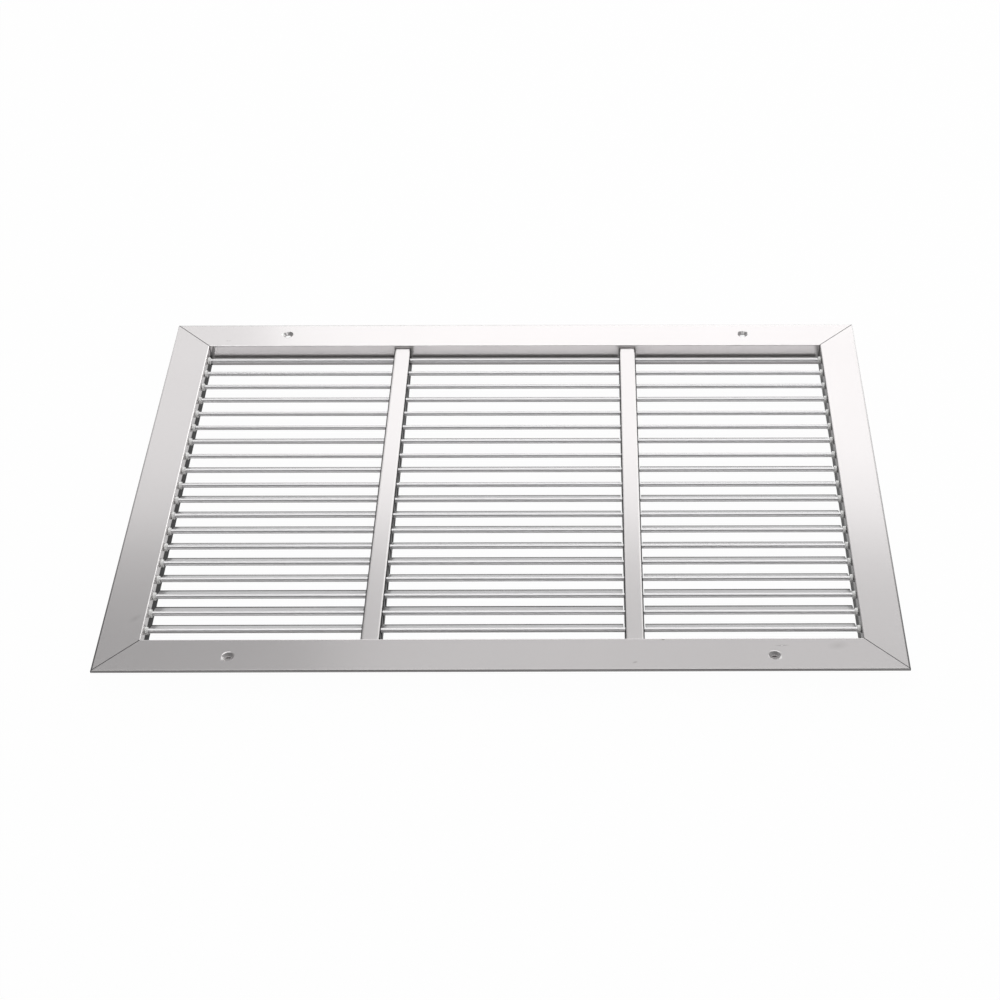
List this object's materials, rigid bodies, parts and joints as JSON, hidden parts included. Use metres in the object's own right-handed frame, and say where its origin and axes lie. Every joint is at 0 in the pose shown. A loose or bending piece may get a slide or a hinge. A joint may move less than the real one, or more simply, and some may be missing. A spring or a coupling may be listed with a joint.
{
  "type": "return air grille",
  "caption": "Rectangular aluminium return air grille: mitred flange frame with a neck, upright mullions and rows of friction-held pivoting blades that steer and throttle the air.",
  "frame": {"origin": "centre of the neck's back rim, on which the grille lies face up", "axes": "+X along the blades, +Y up the face towards the top rail, +Z out of the face"},
  "size_m": [0.608, 0.434, 0.0215],
  "materials": {
    "satin_anodised_aluminium": "satin anodised",
    "blade_aluminium": "satin anodised, with white nylon pivots at both ends",
    "rivet_aluminium": "plain",
    "zinc_plated_steel": "zinc plated"
  },
  "bodies": {
    "frame": {"rail_top": "satin_anodised_aluminium", "rail_bottom": "satin_anodised_aluminium", "rail_left": "satin_anodised_aluminium", "rail_right": "satin_anodised_aluminium", "mullion_left": "satin_anodised_aluminium", "mullion_right": "satin_anodised_aluminium", "bracket_top_left": "zinc_plated_steel", "bracket_top_right": "zinc_plated_steel", "bracket_bottom_left": "zinc_plated_steel", "bracket_bottom_right": "zinc_plated_steel", "rivet_top_left": "rivet_aluminium", "rivet_top_right": "rivet_aluminium", "rivet_bottom_left": "rivet_aluminium", "rivet_bottom_right": "rivet_aluminium"},
    "blade_01": {"blade_01": "blade_aluminium"},
    "blade_02": {"blade_02": "blade_aluminium"},
    "blade_03": {"blade_03": "blade_aluminium"},
    "blade_04": {"blade_04": "blade_aluminium"},
    "blade_05": {"blade_05": "blade_aluminium"},
    "blade_06": {"blade_06": "blade_aluminium"},
    "blade_07": {"blade_07": "blade_aluminium"},
    "blade_08": {"blade_08": "blade_aluminium"},
    "blade_09": {"blade_09": "blade_aluminium"},
    "blade_10": {"blade_10": "blade_aluminium"},
    "blade_11": {"blade_11": "blade_aluminium"},
    "blade_12": {"blade_12": "blade_aluminium"},
    "blade_13": {"blade_13": "blade_aluminium"},
    "blade_14": {"blade_14": "blade_aluminium"},
    "blade_15": {"blade_15": "blade_aluminium"},
    "blade_16": {"blade_16": "blade_aluminium"},
    "blade_17": {"blade_17": "blade_aluminium"},
    "blade_18": {"blade_18": "blade_aluminium"},
    "blade_19": {"blade_19": "blade_aluminium"}
  },
  "joints": [
    {"name": "blade_01_pivot", "type": "hinge", "parent": "frame", "child": "blade_01", "pos_m": [0, 0.1705, 0.0155], "axis": [1, 0, 0], "range_deg": [-42, 6]},
    {"name": "blade_02_pivot", "type": "hinge", "parent": "frame", "child": "blade_02", "pos_m": [0, 0.1516, 0.0155], "axis": [1, 0, 0], "range_deg": [-42, 29]},
    {"name": "blade_03_pivot", "type": "hinge", "parent": "frame", "child": "blade_03", "pos_m": [0, 0.1327, 0.0155], "axis": [1, 0, 0], "range_deg": [-43, 28]},
    {"name": "blade_04_pivot", "type": "hinge", "parent": "frame", "child": "blade_04", "pos_m": [0, 0.1138, 0.0155], "axis": [1, 0, 0], "range_deg": [-44, 27]},
    {"name": "blade_05_pivot", "type": "hinge", "parent": "frame", "child": "blade_05", "pos_m": [0, 0.0949, 0.0155], "axis": [1, 0, 0], "range_deg": [-40, 31]},
    {"name": "blade_06_pivot", "type": "hinge", "parent": "frame", "child": "blade_06", "pos_m": [0, 0.076, 0.0155], "axis": [1, 0, 0], "range_deg": [-40, 31]},
    {"name": "blade_07_pivot", "type": "hinge", "parent": "frame", "child": "blade_07", "pos_m": [0, 0.0571, 0.0155], "axis": [1, 0, 0], "range_deg": [-44, 27]},
    {"name": "blade_08_pivot", "type": "hinge", "parent": "frame", "child": "blade_08", "pos_m": [0, 0.0382, 0.0155], "axis": [1, 0, 0], "range_deg": [-40, 31]},
    {"name": "blade_09_pivot", "type": "hinge", "parent": "frame", "child": "blade_09", "pos_m": [0, 0.0193, 0.0155], "axis": [1, 0, 0], "range_deg": [-44, 27]},
    {"name": "blade_10_pivot", "type": "hinge", "parent": "frame", "child": "blade_10", "pos_m": [0, 0.0004, 0.0155], "axis": [1, 0, 0], "range_deg": [-41, 30]},
    {"name": "blade_11_pivot", "type": "hinge", "parent": "frame", "child": "blade_11", "pos_m": [0, -0.0185, 0.0155], "axis": [1, 0, 0], "range_deg": [-47, 24]},
    {"name": "blade_12_pivot", "type": "hinge", "parent": "frame", "child": "blade_12", "pos_m": [0, -0.0374, 0.0155], "axis": [1, 0, 0], "range_deg": [-45, 26]},
    {"name": "blade_13_pivot", "type": "hinge", "parent": "frame", "child": "blade_13", "pos_m": [0, -0.0563, 0.0155], "axis": [1, 0, 0], "range_deg": [-46, 25]},
    {"name": "blade_14_pivot", "type": "hinge", "parent": "frame", "child": "blade_14", "pos_m": [0, -0.0752, 0.0155], "axis": [1, 0, 0], "range_deg": [-44, 27]},
    {"name": "blade_15_pivot", "type": "hinge", "parent": "frame", "child": "blade_15", "pos_m": [0, -0.0941, 0.0155], "axis": [1, 0, 0], "range_deg": [-47, 24]},
    {"name": "blade_16_pivot", "type": "hinge", "parent": "frame", "child": "blade_16", "pos_m": [0, -0.113, 0.0155], "axis": [1, 0, 0], "range_deg": [-45, 26]},
    {"name": "blade_17_pivot", "type": "hinge", "parent": "frame", "child": "blade_17", "pos_m": [0, -0.1319, 0.0155], "axis": [1, 0, 0], "range_deg": [-48, 23]},
    {"name": "blade_18_pivot", "type": "hinge", "parent": "frame", "child": "blade_18", "pos_m": [0, -0.1508, 0.0155], "axis": [1, 0, 0], "range_deg": [-49, 22]},
    {"name": "blade_19_pivot", "type": "hinge", "parent": "frame", "child": "blade_19", "pos_m": [0, -0.1697, 0.0155], "axis": [1, 0, 0], "range_deg": [-46, 25]}
  ]
}
